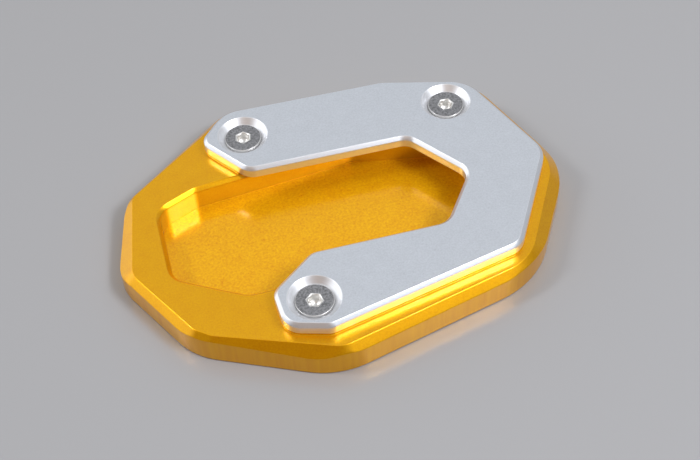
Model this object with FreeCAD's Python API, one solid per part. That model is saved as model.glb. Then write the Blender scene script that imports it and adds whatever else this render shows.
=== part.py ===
import FreeCAD, Part
import math
import os
from FreeCAD import Vector

os.makedirs("parts", exist_ok=True)

# Outlines, as corner points in mm with the radius of each corner.
# The slot of the clamp plate lies along X and opens towards -X.
BASE_OUTLINE = [
    (-58.4, -3.6, 12.0),
    (-44.6, -28.6, 18.0),
    (-12.5, -43.8, 22.0),
    (41.7, -30.6, 25.0),
    (60.3, 0.8, 22.0),
    (46.0, 33.0, 15.0),
    (17.8, 41.6, 15.0),
    (-22.9, 44.0, 7.0),
    (-53.6, 17.2, 9.0),
]
# edge of the flat top, where the sloping facets begin
TOP_OUTLINE = [
    (-54.9, -6.4, 7.0),
    (-43.4, -26.7, 5.0),
    (-39.6, -29.7, 3.0),
    (-10.7, -41.3, 6.5),
    (39.6, -29.2, 14.0),
    (55.9, -0.6, 12.0),
    (45.1, 32.6, 8.0),
    (17.1, 39.2, 8.0),
    (-21.7, 41.4, 5.0),
    (-51.1, 18.6, 3.5),
]
POCKET_OUTLINE = [
    (-46.4, -10.4, 6.0),
    (-28.8, -20.9, 8.0),
    (30.5, -20.5, 8.0),
    (39.5, -1.0, 8.0),
    (31.0, 16.6, 8.0),
    (8.0, 21.8, 8.0),
    (-35.4, 17.6, 6.0),
    (-46.4, 12.8, 6.0),
]
CLAMP_OUTLINE = [
    (-22.9, -34.5, 5.2),
    (-12.4, -37.8, 4.9),
    (38.0, -26.8, 5.9),
    (54.3, 1.2, 7.9),
    (43.1, 31.4, 10.2),
    (20.7, 37.8, 9.9),
    (-23.0, 38.7, 8.9),
    (-31.1, 29.6, 4.3),
    (-21.0, 15.8, 4.8),
    (21.5, 15.3, 3.9),
    (33.0, -0.4, 4.1),
    (22.9, -14.8, 4.9),
    (-11.7, -14.6, 4.3),
    (-23.4, -23.8, 3.8),
]

# Base plate heights and edges
BASE_FACE = 8.5
STEP_RISE = 0.8
POCKET_FLOOR = 1.7
POCKET_BEVEL = 1.0
POCKET_FILLET = 0.2
FACET_REACH = 6.0

# Clamp plate
CLAMP_THICK = 3.2
CLAMP_BEVEL = 0.9

# Countersunk screws: place, and turn of the hexagon in degrees
SCREWS = [
    (-19.6, 28.6, 19.0),
    (35.0, 25.0, 55.0),
    (-14.3, -28.6, 40.0),
]
HEAD_SUNK = 1.0
HEAD_DIA = 9.4
CONE_DIA = 11.2
THREAD_DIA = 5.0
SCREW_LENGTH = 10.0
TIP_BEVEL = 0.6
HEX_WIDTH = 3.0
HEX_DEPTH = 2.0
HEX_MOUTH = 3.6
DRILL_POINT = 118.0
HOLE_BEVEL = 0.5

CLAMP_BOTTOM = BASE_FACE + STEP_RISE
CLAMP_TOP = CLAMP_BOTTOM + CLAMP_THICK
HEAD_TOP = CLAMP_TOP - HEAD_SUNK
OVERLAP = 1.0


def unit(start, end):
    return (end - start).normalize()


def rounded_face(corners, z):
    """Flat face at height z from corner points, each rounded by its radius."""
    points = [Vector(x, y, z) for x, y, radius in corners]
    edges = []
    ends = []
    for i, corner in enumerate(points):
        back = unit(corner, points[i - 1])
        ahead = unit(corner, points[(i + 1) % len(points)])
        half = back.getAngle(ahead) / 2
        radius = corners[i][2]
        reach = radius / math.tan(half)
        start = corner + back * reach
        end = corner + ahead * reach
        bisector = (back + ahead).normalize()
        middle = corner + bisector * (radius / math.sin(half) - radius)
        ends.append((start, end))
        edges.append(Part.Arc(start, middle, end).toShape())
        if i:
            edges.append(Part.makeLine(ends[i - 1][1], start))
    edges.append(Part.makeLine(ends[-1][1], ends[0][0]))
    return Part.Face(Part.Wire(Part.__sortEdges__(edges)))


def prism(face, height):
    return face.extrude(Vector(0, 0, height))


def rim_edges(solid, z):
    """Edges that lie wholly at height z."""
    return [e for e in solid.Edges
            if abs(e.BoundBox.ZMin - z) < 1e-4 and abs(e.BoundBox.ZMax - z) < 1e-4]


def cone(x, y, z_low, r_low, z_high, r_high):
    base = Vector(x, y, z_low)
    return Part.makeCone(r_low, r_high, z_high - z_low, base)


def faceted_body():
    """Upright outline cut down by the sloping facets that start at TOP_OUTLINE."""
    body = prism(rounded_face(BASE_OUTLINE, 0), BASE_FACE)
    wide = rounded_face(TOP_OUTLINE, 0).makeOffset2D(FACET_REACH)
    crown = prism(wide, BASE_FACE)
    crown = crown.makeChamfer(FACET_REACH, rim_edges(crown, BASE_FACE))
    return body.common(crown)


def pocket_cutter():
    """Upright walls, small fillet at the floor and bevel at the mouth."""
    mouth_bottom = BASE_FACE - POCKET_BEVEL
    mouth = prism(rounded_face(POCKET_OUTLINE, mouth_bottom),
                  POCKET_BEVEL + STEP_RISE + OVERLAP)
    mouth = mouth.makeChamfer(POCKET_BEVEL, rim_edges(mouth, mouth_bottom))
    well_face = rounded_face(POCKET_OUTLINE, POCKET_FLOOR).makeOffset2D(-POCKET_BEVEL)
    well = prism(well_face, BASE_FACE - POCKET_FLOOR)
    well = well.makeFillet(POCKET_FILLET, rim_edges(well, POCKET_FLOOR))
    return mouth.fuse(well)


def tapped_hole(x, y):
    """Through hole at thread diameter, opened for the screw's cone and below."""
    radius = THREAD_DIA / 2
    hole = Part.makeCylinder(radius, CLAMP_BOTTOM + OVERLAP, Vector(x, y, 0))
    sink = cone(x, y, cone_height(radius), radius,
                CLAMP_TOP, cone_radius(CLAMP_TOP))
    mouth = cone(x, y, 0, radius + HOLE_BEVEL, HOLE_BEVEL, radius)
    return hole.fuse(sink).fuse(mouth)


def cone_radius(z):
    """Radius of the 90 degree countersink cone at height z."""
    return CONE_DIA / 2 + z - HEAD_TOP


def cone_height(radius):
    return HEAD_TOP - CONE_DIA / 2 + radius


def base_plate():
    step = prism(rounded_face(CLAMP_OUTLINE, BASE_FACE - OVERLAP), STEP_RISE + OVERLAP)
    plate = faceted_body().fuse(step).cut(pocket_cutter())
    for x, y, turn in SCREWS:
        plate = plate.cut(tapped_hole(x, y))
    return plate.removeSplitter()


def clamp_plate():
    plate = prism(rounded_face(CLAMP_OUTLINE, CLAMP_BOTTOM), CLAMP_THICK)
    plate = plate.makeChamfer(CLAMP_BEVEL, rim_edges(plate, CLAMP_TOP))
    for x, y, turn in SCREWS:
        low = CLAMP_BOTTOM - OVERLAP
        high = CLAMP_TOP + OVERLAP
        plate = plate.cut(cone(x, y, low, cone_radius(low), high, cone_radius(high)))
    return plate


def screw(x, y, turn):
    """Countersunk screw turned about its axis, then the socket taken out."""
    head = HEAD_DIA / 2
    shank = THREAD_DIA / 2
    tip = HEAD_TOP - SCREW_LENGTH
    profile = [
        (0, HEAD_TOP),
        (head, HEAD_TOP),
        (head, cone_height(head)),
        (shank, cone_height(shank)),
        (shank, tip + TIP_BEVEL),
        (shank - TIP_BEVEL, tip),
        (0, tip),
        (0, HEAD_TOP),
    ]
    wire = Part.makePolygon([Vector(r, 0, z) for r, z in profile])
    body = Part.Face(wire).revolve(Vector(0, 0, 0), Vector(0, 0, 1), 360)
    body = body.cut(hex_socket(turn))
    body.translate(Vector(x, y, 0))
    return body


def hexagon(width, turn, z):
    """Closed outline of a hexagon by its width across flats."""
    corner = width / math.sqrt(3)
    angles = [math.radians(turn + 60 * k) for k in range(7)]
    return Part.makePolygon([Vector(corner * math.cos(a), corner * math.sin(a), z)
                             for a in angles])


def hex_socket(turn):
    """Hexagon with a drill point below it and a small hexagonal bevel at its mouth."""
    floor = HEAD_TOP - HEX_DEPTH
    socket = prism(Part.Face(hexagon(HEX_WIDTH, turn, floor)), HEX_DEPTH + OVERLAP)
    point = HEX_WIDTH / 2 / math.tan(math.radians(DRILL_POINT / 2))
    socket = socket.fuse(cone(0, 0, floor - point, 0, floor, HEX_WIDTH / 2))
    depth = (HEX_MOUTH - HEX_WIDTH) / 2
    narrow = hexagon(HEX_WIDTH, turn, HEAD_TOP - depth)
    wide = hexagon(HEX_MOUTH + 2 * OVERLAP, turn, HEAD_TOP + OVERLAP)
    return socket.fuse(Part.makeLoft([narrow, wide], True, True))


def main():
    base = base_plate()
    clamp = clamp_plate()
    screws = Part.makeCompound([screw(*place) for place in SCREWS])
    # the origin goes to the middle of the base's underside
    box = base.optimalBoundingBox(False, False)
    shift = Vector(-box.Center.x, -box.Center.y, 0)
    for name, shape in (("base_plate", base), ("clamp_plate", clamp), ("clamp_screws", screws)):
        shape.translate(shift)
        shape.exportStep("parts/%s.step" % name)


main()
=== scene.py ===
import math
import bpy
import bmesh
from mathutils import Matrix, Vector


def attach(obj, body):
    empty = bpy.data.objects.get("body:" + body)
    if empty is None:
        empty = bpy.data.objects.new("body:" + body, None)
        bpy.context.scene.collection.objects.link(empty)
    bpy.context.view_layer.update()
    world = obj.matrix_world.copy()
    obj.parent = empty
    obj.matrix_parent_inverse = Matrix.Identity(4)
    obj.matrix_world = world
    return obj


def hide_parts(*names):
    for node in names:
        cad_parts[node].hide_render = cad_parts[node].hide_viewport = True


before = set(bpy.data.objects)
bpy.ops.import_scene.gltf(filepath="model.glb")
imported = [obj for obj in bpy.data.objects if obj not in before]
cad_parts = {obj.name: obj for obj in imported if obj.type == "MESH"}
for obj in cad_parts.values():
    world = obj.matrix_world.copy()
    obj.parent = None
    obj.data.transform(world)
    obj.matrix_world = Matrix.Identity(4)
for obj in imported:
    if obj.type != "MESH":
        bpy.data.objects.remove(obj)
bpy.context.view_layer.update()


# Camera
# Stands in front of the clamp plate's lower arm and looks down on the part.
# The slot of the clamp plate runs up to the right.
eye = Vector((-0.04449, -0.20975, 0.25293))
aim = Vector((-0.00075, -0.01083, 0.01150))
roll = math.radians(-3.25)

forward = (aim - eye).normalized()
right = forward.cross(Vector((0, 0, 1))).normalized()
up = right.cross(forward)
tilted_right = math.cos(roll) * right + math.sin(roll) * up
tilted_up = -math.sin(roll) * right + math.cos(roll) * up
camera_data = bpy.data.cameras.new("camera")
camera_data.lens = 66.06
camera_data.sensor_width = 36.0
camera_data.clip_start = 0.01
camera = bpy.data.objects.new("camera", camera_data)
turn = Matrix((tilted_right, tilted_up, -forward)).transposed().to_4x4()
camera.matrix_world = Matrix.Translation(eye) @ turn
bpy.context.scene.collection.objects.link(camera)
bpy.context.scene.camera = camera


# Floor and light
# A plain pale floor in a grey room. A soft box with a bright core stands at the
# right front, and a small one at the left.
def towards(azimuth, elevation):
    """Unit vector that points at the given direction in degrees."""
    a = math.radians(azimuth)
    e = math.radians(elevation)
    return Vector((math.cos(e) * math.cos(a), math.cos(e) * math.sin(a), math.sin(e)))


def soft_box(name, azimuth, elevation, distance, width, height, radiance, colour):
    """Rectangular lamp that faces the part from the given direction in degrees."""
    away = towards(azimuth, elevation)
    data = bpy.data.lights.new(name, "AREA")
    data.shape = "RECTANGLE"
    data.size = width
    data.size_y = height
    data.energy = math.pi * width * height * radiance
    data.color = colour
    lamp = bpy.data.objects.new(name, data)
    lamp.location = away * distance
    lamp.rotation_euler = away.to_track_quat("Z", "Y").to_euler()
    bpy.context.scene.collection.objects.link(lamp)


soft_box("key_box", azimuth=-42, elevation=51, distance=0.90,
         width=0.48, height=0.48, radiance=2.0, colour=(0.99, 0.99, 1.0))
soft_box("key_core", azimuth=-44, elevation=51, distance=0.85,
         width=0.20, height=0.16, radiance=32.0, colour=(0.93, 0.95, 1.0))
soft_box("left_box", azimuth=167, elevation=46, distance=1.00,
         width=0.17, height=0.17, radiance=27.0, colour=(0.99, 0.99, 1.0))

world = bpy.data.worlds.new("room")
world.use_nodes = True
room = world.node_tree
direction = room.nodes.new("ShaderNodeTexCoord")


def glow(azimuth, elevation, edge, high, full=1.0, low=0.0):
    """Value that rises smoothly from low to high towards a direction in degrees.

    edge and full are the cosines of the angles at which the rise starts and ends.
    """
    along = room.nodes.new("ShaderNodeVectorMath")
    along.operation = "DOT_PRODUCT"
    along.inputs[1].default_value = towards(azimuth, elevation)
    rise = room.nodes.new("ShaderNodeMapRange")
    rise.interpolation_type = "SMOOTHSTEP"
    rise.inputs["From Min"].default_value = edge
    rise.inputs["From Max"].default_value = full
    rise.inputs["To Min"].default_value = low
    rise.inputs["To Max"].default_value = high
    room.links.new(direction.outputs["Generated"], along.inputs[0])
    room.links.new(along.outputs["Value"], rise.inputs["Value"])
    return rise.outputs["Result"]


# the room is brighter over the back than along the front, with weaker glows round it
strength = glow(72, 58, edge=0.3, full=0.99, low=0.11, high=0.70)
for azimuth, elevation, edge, high in ((-38, 42, 0.72, 0.35),
                                       (172, 26, 0.86, 1.1),
                                       (138, 8, 0.90, 1.7),
                                       (14, 6, 0.88, 0.25),
                                       (-122, 30, 0.70, 0.12),
                                       (-120, 62, 0.93, 0.5)):
    total = room.nodes.new("ShaderNodeMath")
    total.operation = "ADD"
    room.links.new(strength, total.inputs[0])
    room.links.new(glow(azimuth, elevation, edge, high), total.inputs[1])
    strength = total.outputs["Value"]
room.links.new(strength, room.nodes["Background"].inputs["Strength"])

# a little warm light comes back from the left front
tone = room.nodes.new("ShaderNodeMix")
tone.data_type = "RGBA"
cool, warm = (socket for socket in tone.inputs if socket.type == "RGBA")
mixed = next(socket for socket in tone.outputs if socket.type == "RGBA")
cool.default_value = (0.95, 0.975, 1.0, 1)
warm.default_value = (1.0, 0.55, 0.25, 1)
room.links.new(glow(-122, 30, edge=0.70, high=1.0), tone.inputs["Factor"])
room.links.new(mixed, room.nodes["Background"].inputs["Color"])
bpy.context.scene.world = world
bpy.context.scene.view_settings.view_transform = "Standard"

floor_reach = 4.0
floor_shape = bmesh.new()
bmesh.ops.create_grid(floor_shape, x_segments=1, y_segments=1, size=floor_reach)
floor_mesh = bpy.data.meshes.new("floor")
floor_shape.to_mesh(floor_mesh)
floor_shape.free()
floor = bpy.data.objects.new("floor", floor_mesh)
bpy.context.scene.collection.objects.link(floor)
paper = bpy.data.materials.new("pale_floor")
paper.use_nodes = True
paper_shader = paper.node_tree.nodes["Principled BSDF"]
paper_shader.inputs["Base Color"].default_value = (0.36, 0.36, 0.37, 1)
paper_shader.inputs["Roughness"].default_value = 0.25
floor_mesh.materials.append(paper)


# Base plate
# Milled from one block of aluminium, lightly blasted and anodised gold. It carries
# the clamp plate on a low step and is tapped for its screws. Its outer edges are
# broken with a file, and the pocket floor keeps a coarser grain.
weld_distance = 0.000002
level_angle = math.radians(0.2)
corner_angle = math.radians(25)
square_angle = math.radians(60)


def broken_edges(node, breaks):
    """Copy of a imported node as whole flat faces, with each chosen outer edge bevelled.

    breaks is a list of (test, width, segments), where the test takes an edge.
    """
    shape = bmesh.new()
    shape.from_mesh(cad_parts[node].data)
    bmesh.ops.remove_doubles(shape, verts=shape.verts, dist=weld_distance)
    bmesh.ops.dissolve_limit(shape, angle_limit=level_angle,
                             verts=shape.verts, edges=shape.edges)
    for test, width, segments in breaks:
        corners = [e for e in shape.edges if e.is_manifold and e.is_convex
                   and e.calc_face_angle() > corner_angle and test(e)]
        bmesh.ops.bevel(shape, geom=corners, offset=width, offset_type="OFFSET",
                        segments=segments, profile=0.5, affect="EDGES", material=-1,
                        clamp_overlap=False)
    return shape


def edge_height(edge):
    """Height of the edge's upper end."""
    return max(v.co.z for v in edge.verts)


def finished(shape, name, finishes):
    """Object for a finished bmesh, shaded smooth with flat faces kept flat."""
    for face in shape.faces:
        face.smooth = True
    mesh = bpy.data.meshes.new(name)
    shape.to_mesh(mesh)
    shape.free()
    for finish in finishes:
        mesh.materials.append(finish)
    piece = bpy.data.objects.new(name, mesh)
    bpy.context.scene.collection.objects.link(piece)
    flat = piece.modifiers.new("flat_faces", "WEIGHTED_NORMAL")
    flat.weight = 100
    flat.keep_sharp = True
    return piece


def metal_grain_group():
    """Colour, roughness and height that change over a finished metal face.

    Fine is the grain that the finish leaves, cloud the slow change over some
    millimetres, and pits the scattered dark specks. Grain tint is how far each
    colour channel follows them. A small value in Stretch draws the grain out along
    that axis, as the marks of a cutter are.
    """
    cloud_scale = 260.0
    speck_scale = 0.7
    pit_starts, pit_full = 0.16, 0.26
    lightest = (0.98, 0.98, 0.98)

    group = bpy.data.node_groups.new("metal_grain", "ShaderNodeTree")
    sockets = group.interface
    sockets.new_socket("Colour", in_out="INPUT", socket_type="NodeSocketColor")
    sockets.new_socket("Grain tint", in_out="INPUT", socket_type="NodeSocketVector")
    sockets.new_socket("Stretch", in_out="INPUT", socket_type="NodeSocketVector")
    for name in ("Roughness", "Grain size", "Fine", "Cloud", "Pits", "Roughness change"):
        sockets.new_socket(name, in_out="INPUT", socket_type="NodeSocketFloat")
    sockets.new_socket("Colour", in_out="OUTPUT", socket_type="NodeSocketColor")
    sockets.new_socket("Roughness", in_out="OUTPUT", socket_type="NodeSocketFloat")
    sockets.new_socket("Height", in_out="OUTPUT", socket_type="NodeSocketFloat")
    given = group.nodes.new("NodeGroupInput")
    result = group.nodes.new("NodeGroupOutput")
    place = group.nodes.new("ShaderNodeTexCoord")

    def vector_node(operation):
        made = group.nodes.new("ShaderNodeVectorMath")
        made.operation = operation
        return made

    def math_node(operation, *inputs):
        made = group.nodes.new("ShaderNodeMath")
        made.operation = operation
        for i, value in enumerate(inputs):
            if isinstance(value, float):
                made.inputs[i].default_value = value
            else:
                group.links.new(value, made.inputs[i])
        return made.outputs["Value"]

    def noise(detail, roughness):
        """Noise node over the drawn-out place, and its value about zero."""
        made = group.nodes.new("ShaderNodeTexNoise")
        made.inputs["Detail"].default_value = detail
        made.inputs["Roughness"].default_value = roughness
        group.links.new(drawn.outputs["Vector"], made.inputs["Vector"])
        return made, math_node("SUBTRACT", made.outputs["Fac"], 0.5)

    drawn = vector_node("MULTIPLY")
    group.links.new(place.outputs["Object"], drawn.inputs[0])
    group.links.new(given.outputs["Stretch"], drawn.inputs[1])

    fine_scale = math_node("DIVIDE", 1.0, given.outputs["Grain size"])
    fine_noise, fine = noise(detail=2.0, roughness=0.6)
    group.links.new(fine_scale, fine_noise.inputs["Scale"])
    cloud_noise, cloud = noise(detail=3.0, roughness=0.55)
    cloud_noise.inputs["Scale"].default_value = cloud_scale
    speck_noise, speck = noise(detail=1.0, roughness=0.5)
    group.links.new(math_node("MULTIPLY", fine_scale, speck_scale), speck_noise.inputs["Scale"])
    pit = group.nodes.new("ShaderNodeMapRange")
    pit.interpolation_type = "SMOOTHSTEP"
    pit.inputs["From Min"].default_value = pit_starts
    pit.inputs["From Max"].default_value = pit_full
    group.links.new(speck, pit.inputs["Value"])

    shade = math_node("MULTIPLY", fine, given.outputs["Fine"])
    shade = math_node("ADD", shade, math_node("MULTIPLY", cloud, given.outputs["Cloud"]))
    pitted = math_node("MULTIPLY", pit.outputs["Result"], given.outputs["Pits"])
    shade = math_node("SUBTRACT", shade, pitted)
    change = vector_node("MULTIPLY_ADD")
    group.links.new(shade, change.inputs[0])
    group.links.new(given.outputs["Grain tint"], change.inputs[1])
    change.inputs[2].default_value = (1.0, 1.0, 1.0)
    tint = vector_node("MULTIPLY")
    group.links.new(given.outputs["Colour"], tint.inputs[0])
    group.links.new(change.outputs["Vector"], tint.inputs[1])
    limit = vector_node("MINIMUM")
    limit.inputs[1].default_value = lightest
    group.links.new(tint.outputs["Vector"], limit.inputs[0])
    group.links.new(limit.outputs["Vector"], result.inputs["Colour"])
    rough = math_node("MULTIPLY", cloud, given.outputs["Roughness change"])
    rough = math_node("ADD", rough, given.outputs["Roughness"])
    group.links.new(rough, result.inputs["Roughness"])
    group.links.new(fine, result.inputs["Height"])
    return group


metal_grain = metal_grain_group()


def grained_metal(name, colour, metallic, roughness, roughness_change, grain_size, fine, cloud,
                  bump_depth, pits=0.0, grain_tint=(1.0, 1.0, 1.0), stretch=(1.0, 1.0, 1.0),
                  coat=0.0, coat_roughness=0.03, specular=0.5):
    """Metal material whose colour, roughness and bump come from the metal grain."""
    material = bpy.data.materials.new(name)
    material.use_nodes = True
    tree = material.node_tree
    shader = tree.nodes["Principled BSDF"]
    shader.inputs["Metallic"].default_value = metallic
    shader.inputs["Coat Weight"].default_value = coat
    shader.inputs["Coat Roughness"].default_value = coat_roughness
    shader.inputs["Specular IOR Level"].default_value = specular
    grain = tree.nodes.new("ShaderNodeGroup")
    grain.node_tree = metal_grain
    grain.inputs["Colour"].default_value = (*colour, 1)
    grain.inputs["Grain tint"].default_value = grain_tint
    grain.inputs["Stretch"].default_value = stretch
    grain.inputs["Roughness"].default_value = roughness
    grain.inputs["Roughness change"].default_value = roughness_change
    grain.inputs["Grain size"].default_value = grain_size
    grain.inputs["Fine"].default_value = fine
    grain.inputs["Cloud"].default_value = cloud
    grain.inputs["Pits"].default_value = pits
    bump = tree.nodes.new("ShaderNodeBump")
    bump.inputs["Strength"].default_value = 1.0
    bump.inputs["Distance"].default_value = bump_depth
    tree.links.new(grain.outputs["Colour"], shader.inputs["Base Color"])
    tree.links.new(grain.outputs["Roughness"], shader.inputs["Roughness"])
    tree.links.new(grain.outputs["Height"], bump.inputs["Height"])
    tree.links.new(bump.outputs["Normal"], shader.inputs["Normal"])
    return material


gold_colour = (0.89, 0.428, 0.003)
gold_tint = (0.40, 1.0, 1.0)
gold_specular = 0.1
gold = grained_metal(
    "gold_anodised", gold_colour, metallic=0.76, roughness=0.31, roughness_change=0.015,
    grain_size=0.00045, fine=0.55, cloud=0.20, bump_depth=0.0000006,
    grain_tint=gold_tint, coat=0.38, coat_roughness=0.09, specular=gold_specular)
gold_floor = grained_metal(
    "gold_pocket_floor", (0.885, 0.432, 0.004), metallic=0.44, roughness=0.33,
    roughness_change=0.03, grain_size=0.00060, fine=1.05, cloud=0.25, pits=0.22,
    bump_depth=0.000001,
    grain_tint=gold_tint, coat=0.40, coat_roughness=0.10, specular=gold_specular)
# the pocket walls take a yellower copy of the gold: a painted highlight for their bright
# reflections
gold_wall_painted_highlight = grained_metal(
    "gold_pocket_wall_painted_highlight", (0.81, 0.55, 0.02), metallic=0.78, roughness=0.34,
    roughness_change=0.02, grain_size=0.00045, fine=0.40, cloud=0.12, bump_depth=0.0000006,
    grain_tint=gold_tint, coat=1.0, coat_roughness=0.10, specular=gold_specular)
# the cutter has left upright marks on the outer walls
gold_side = grained_metal(
    "gold_outer_wall", gold_colour, metallic=0.76, roughness=0.33, roughness_change=0.02,
    grain_size=0.00150, fine=0.50, cloud=0.10, bump_depth=0.000006, stretch=(1.0, 1.0, 0.05),
    grain_tint=gold_tint, coat=0.50, coat_roughness=0.15, specular=gold_specular)
base_finishes = [gold, gold_floor, gold_wall_painted_highlight, gold_side]

touching = 0.00001
pocket_floor_height = 0.0017
top_face_height = 0.0085
above_hole_mouths = 0.001
ground_break = 0.00050
base_break = 0.00011

plate_shape = broken_edges("base_plate", [
    (lambda e: edge_height(e) < touching and e.calc_face_angle() > square_angle,
     ground_break, 3),
    (lambda e: edge_height(e) > above_hole_mouths, base_break, 2),
])
for face in plate_shape.faces:
    middle = face.calc_center_median()
    faces_in = face.normal.dot(middle) < 0
    upright = abs(face.normal.z) < 0.01
    if abs(middle.z - pocket_floor_height) < touching and face.normal.z > 0.99:
        finish = gold_floor
    # walls facing into the pocket take the yellower gold, a painted highlight
    elif upright and faces_in:
        finish = gold_wall_painted_highlight
    elif upright and middle.z < top_face_height:
        finish = gold_side
    else:
        finish = gold
    face.material_index = base_finishes.index(finish)
plate = finished(plate_shape, "base_plate_milled", base_finishes)
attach(plate, "root")
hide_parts("base_plate")


# Clamp plate
# Cut from aluminium sheet, bevelled along its top edge, tumbled and anodised clear.
# Three screws in its turned countersinks hold it down on the step of the base.
silver = grained_metal(
    "clear_anodised", (0.71, 0.74, 0.795), metallic=0.85, roughness=0.30,
    roughness_change=0.02, grain_size=0.00045, fine=0.30, cloud=0.08, pits=0.05,
    bump_depth=0.000001)
silver_edge = grained_metal(
    "clear_anodised_edge", (0.77, 0.79, 0.83), metallic=0.76, roughness=0.34,
    roughness_change=0.01, grain_size=0.00045, fine=0.10, cloud=0.05, bump_depth=0.0000005)
turned = grained_metal(
    "turned_countersink", (0.80, 0.81, 0.84), metallic=0.78, roughness=0.40,
    roughness_change=0.02, grain_size=0.00022, fine=0.22, cloud=0.02, bump_depth=0.000004,
    stretch=(0.02, 0.02, 1.0))
clamp_finishes = [silver, turned, silver_edge]

clamp_underside = 0.0093
above_bottom_break = 0.0094
bottom_break = 0.00015
clamp_break = 0.0001
countersink_reach = 0.0067
screw_axes = [Vector((-0.01956, 0.02797)), Vector((0.03504, 0.02437)),
              Vector((-0.01426, -0.02923))]

clamp_shape = broken_edges("clamp_plate", [
    (lambda e: edge_height(e) < clamp_underside + touching, bottom_break, 2),
    (lambda e: edge_height(e) > above_bottom_break, clamp_break, 2),
])
for face in clamp_shape.faces:
    middle = face.calc_center_median().xy
    near_screw = min((middle - axis).length for axis in screw_axes) < countersink_reach
    sloping = 0.5 < face.normal.z < 0.9
    if near_screw and sloping:
        finish = turned
    elif abs(face.normal.z) < 0.99:
        finish = silver_edge
    else:
        finish = silver
    face.material_index = clamp_finishes.index(finish)
clamp = finished(clamp_shape, "clamp_plate_cut", clamp_finishes)
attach(clamp, "root")
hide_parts("clamp_plate")


# Clamp screws
# Countersunk hexagon socket screws of plain steel. The top of each head is left
# dark and matt from the furnace, while its rim and socket are bright. The rolled
# thread runs up to the head.
steel = grained_metal(
    "dark_screw_face", (0.27, 0.27, 0.28), metallic=0.75, roughness=0.45,
    roughness_change=0.08, grain_size=0.00055, fine=2.2, cloud=0.3, pits=0.3,
    bump_depth=0.000003)
bright = grained_metal(
    "bright_screw_steel", (0.86, 0.85, 0.83), metallic=0.88, roughness=0.34,
    roughness_change=0.02, grain_size=0.00030, fine=0.10, cloud=0.05, pits=0.05,
    bump_depth=0.000001)
screw_finishes = [steel, bright]


def cut_across(shape, height, side):
    """Cut a shape flat at a height, drop what lies on the given side, close the cut."""
    bmesh.ops.bisect_plane(shape, geom=shape.verts[:] + shape.edges[:] + shape.faces[:],
                           plane_co=(0, 0, height), plane_no=(0, 0, side), clear_outer=True)
    bmesh.ops.holes_fill(shape, edges=[e for e in shape.edges if e.is_boundary], sides=0)
    bmesh.ops.recalc_face_normals(shape, faces=shape.faces)


def threaded_rod(radius, pitch, low, high, tip_bevel):
    """Closed rod along Z with a real thread: one tooth turned up a helix."""
    # depth, flank and crest of the tooth in parts of the pitch
    depth, flank, crest = 0.6134, 0.354, 0.125
    first_tooth = 1.5
    steps_in_turn = 48
    sharp = math.radians(30)

    rod = bmesh.new()
    root = radius - depth * pitch
    tooth = ((root, 0.0), (radius, flank), (radius, flank + crest),
             (root, 2 * flank + crest), (root, 1.0))
    corners = [rod.verts.new((reach, 0.0, low + (part - first_tooth) * pitch))
               for reach, part in tooth]
    flanks = [rod.edges.new(pair) for pair in zip(corners, corners[1:])]
    turns = math.ceil((high - low) / pitch) + 2
    bmesh.ops.spin(rod, geom=corners + flanks, cent=(0, 0, 0), axis=(0, 0, 1),
                   dvec=(0, 0, pitch / steps_in_turn), angle=math.tau * turns,
                   steps=steps_in_turn * turns, use_merge=False)
    bmesh.ops.remove_doubles(rod, verts=rod.verts, dist=weld_distance)
    cut_across(rod, low, -1)
    cut_across(rod, high, 1)
    for corner in rod.verts:
        widest = radius - tip_bevel + corner.co.z - low
        reach = corner.co.xy.length
        if reach > widest:
            corner.co.xy *= widest / reach
    for edge in rod.edges:
        edge.smooth = edge.calc_face_angle(0) < sharp
    return rod


head_top = 0.0115
shank_cut = 0.0080
rim_break = 0.0001
mouth_break = 0.00013

screw_shape = broken_edges("clamp_screws", [
    (lambda e: edge_height(e) > head_top - touching and e.calc_face_angle() > square_angle,
     rim_break, 2),
    (lambda e: edge_height(e) > head_top - touching and e.calc_face_angle() <= square_angle,
     mouth_break, 2),
])
for face in screw_shape.faces:
    on_top = face.normal.z > 0.98 and face.calc_center_median().z > head_top - rim_break
    face.material_index = screw_finishes.index(steel if on_top else bright)
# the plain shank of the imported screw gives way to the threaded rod
cut_across(screw_shape, shank_cut, -1)
thread_mesh = bpy.data.meshes.new("thread")
for axis in screw_axes:
    thread = threaded_rod(radius=0.00246, pitch=0.0008, low=0.0015, high=0.0082,
                          tip_bevel=0.0006)
    bmesh.ops.translate(thread, verts=thread.verts, vec=(axis.x, axis.y, 0))
    for face in thread.faces:
        face.material_index = screw_finishes.index(bright)
    thread.to_mesh(thread_mesh)
    thread.free()
    screw_shape.from_mesh(thread_mesh)
screws = finished(screw_shape, "clamp_screws_set", screw_finishes)
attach(screws, "root")
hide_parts("clamp_screws")
